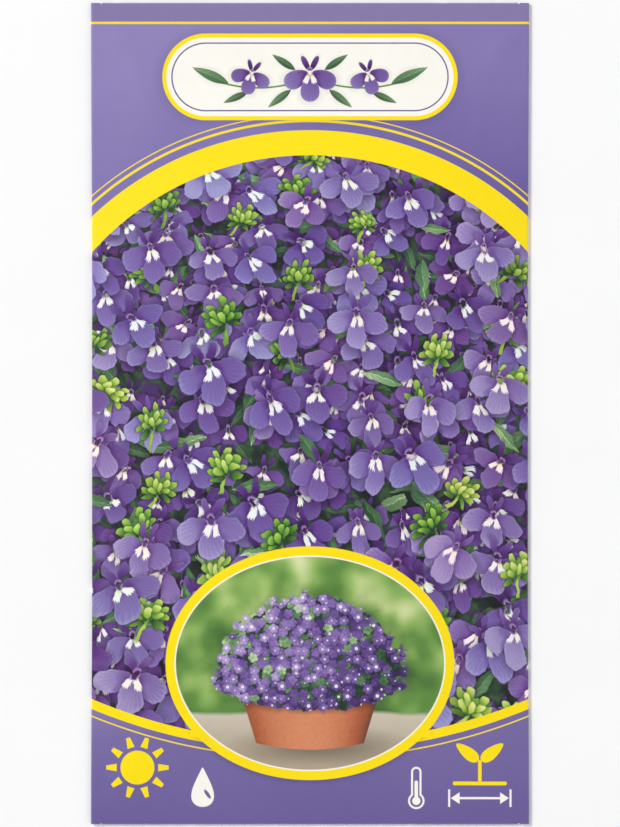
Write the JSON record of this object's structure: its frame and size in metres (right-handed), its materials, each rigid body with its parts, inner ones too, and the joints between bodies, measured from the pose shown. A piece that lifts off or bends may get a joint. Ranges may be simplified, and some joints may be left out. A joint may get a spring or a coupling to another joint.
{
  "type": "seed packet",
  "caption": "Sealed printed-paper packet of flower seed: a wrapped sheet lapped down the back, a glued flap at each end, and a small glassine sachet of seed inside.",
  "frame": {"origin": "under the middle of the packet, on the surface that it lies on", "axes": "+Y along the packet from its bottom flap to its top flap, +Z out of the printed front, +X to the right of the front"},
  "size_m": [0.08, 0.15, 0.0039],
  "materials": {
    "printed_paper": "semi-gloss film-laminated paper, full-colour floral print",
    "glassine": "smooth, slightly translucent glassine",
    "seed_coat": "dull, finely netted brown seed coat"
  },
  "bodies": {
    "root": {"packet": "printed_paper", "inner_sachet": "glassine", "seeds": "seed_coat"}
  },
  "joints": []
}
